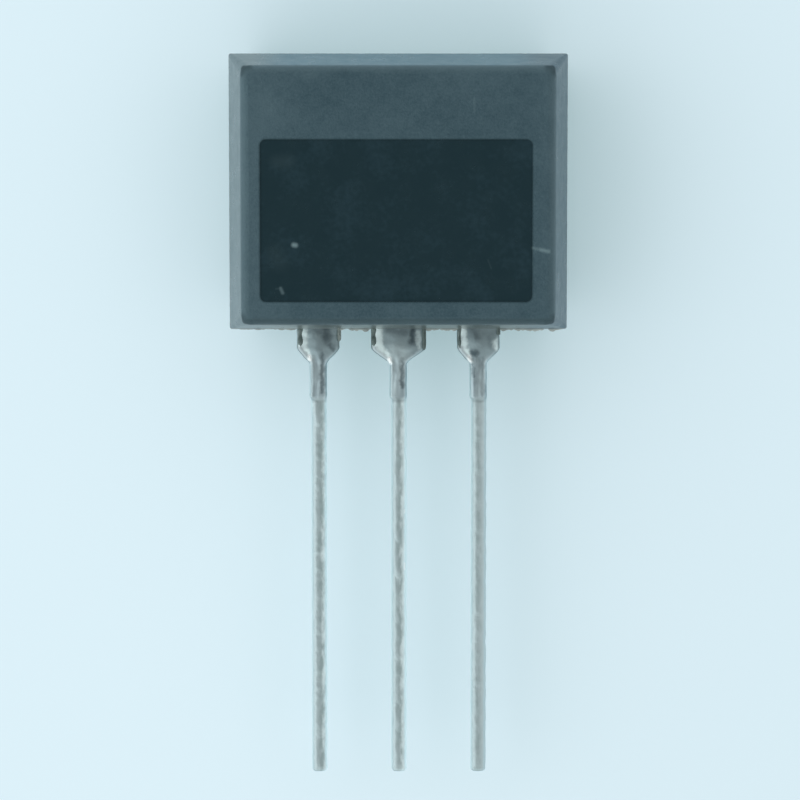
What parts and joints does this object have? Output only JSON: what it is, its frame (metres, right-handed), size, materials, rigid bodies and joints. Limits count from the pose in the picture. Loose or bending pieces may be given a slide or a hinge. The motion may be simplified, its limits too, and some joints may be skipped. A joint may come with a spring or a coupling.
{
  "type": "power transistor",
  "caption": "Flat moulded power transistor with a drafted dark epoxy body and three straight tinned leads in line for a through-hole board.",
  "frame": {"origin": "middle of the flat back face, which the part lies on", "axes": "+X across the three leads from emitter to base, +Y from the leads up the body, +Z out of the marked front face"},
  "size_m": [0.0104, 0.0226, 0.0045],
  "materials": {
    "moulded_epoxy": "satin",
    "tinned_copper": "satin",
    "solder": "satin",
    "silicon": "gloss",
    "bond_wire": "satin"
  },
  "bodies": {
    "root": {"moulded_body": "moulded_epoxy", "collector_lead": "tinned_copper", "emitter_lead": "tinned_copper", "base_lead": "tinned_copper", "die_solder": "solder", "silicon_chip": "silicon", "emitter_wire": "bond_wire", "base_wire": "bond_wire"}
  },
  "joints": []
}
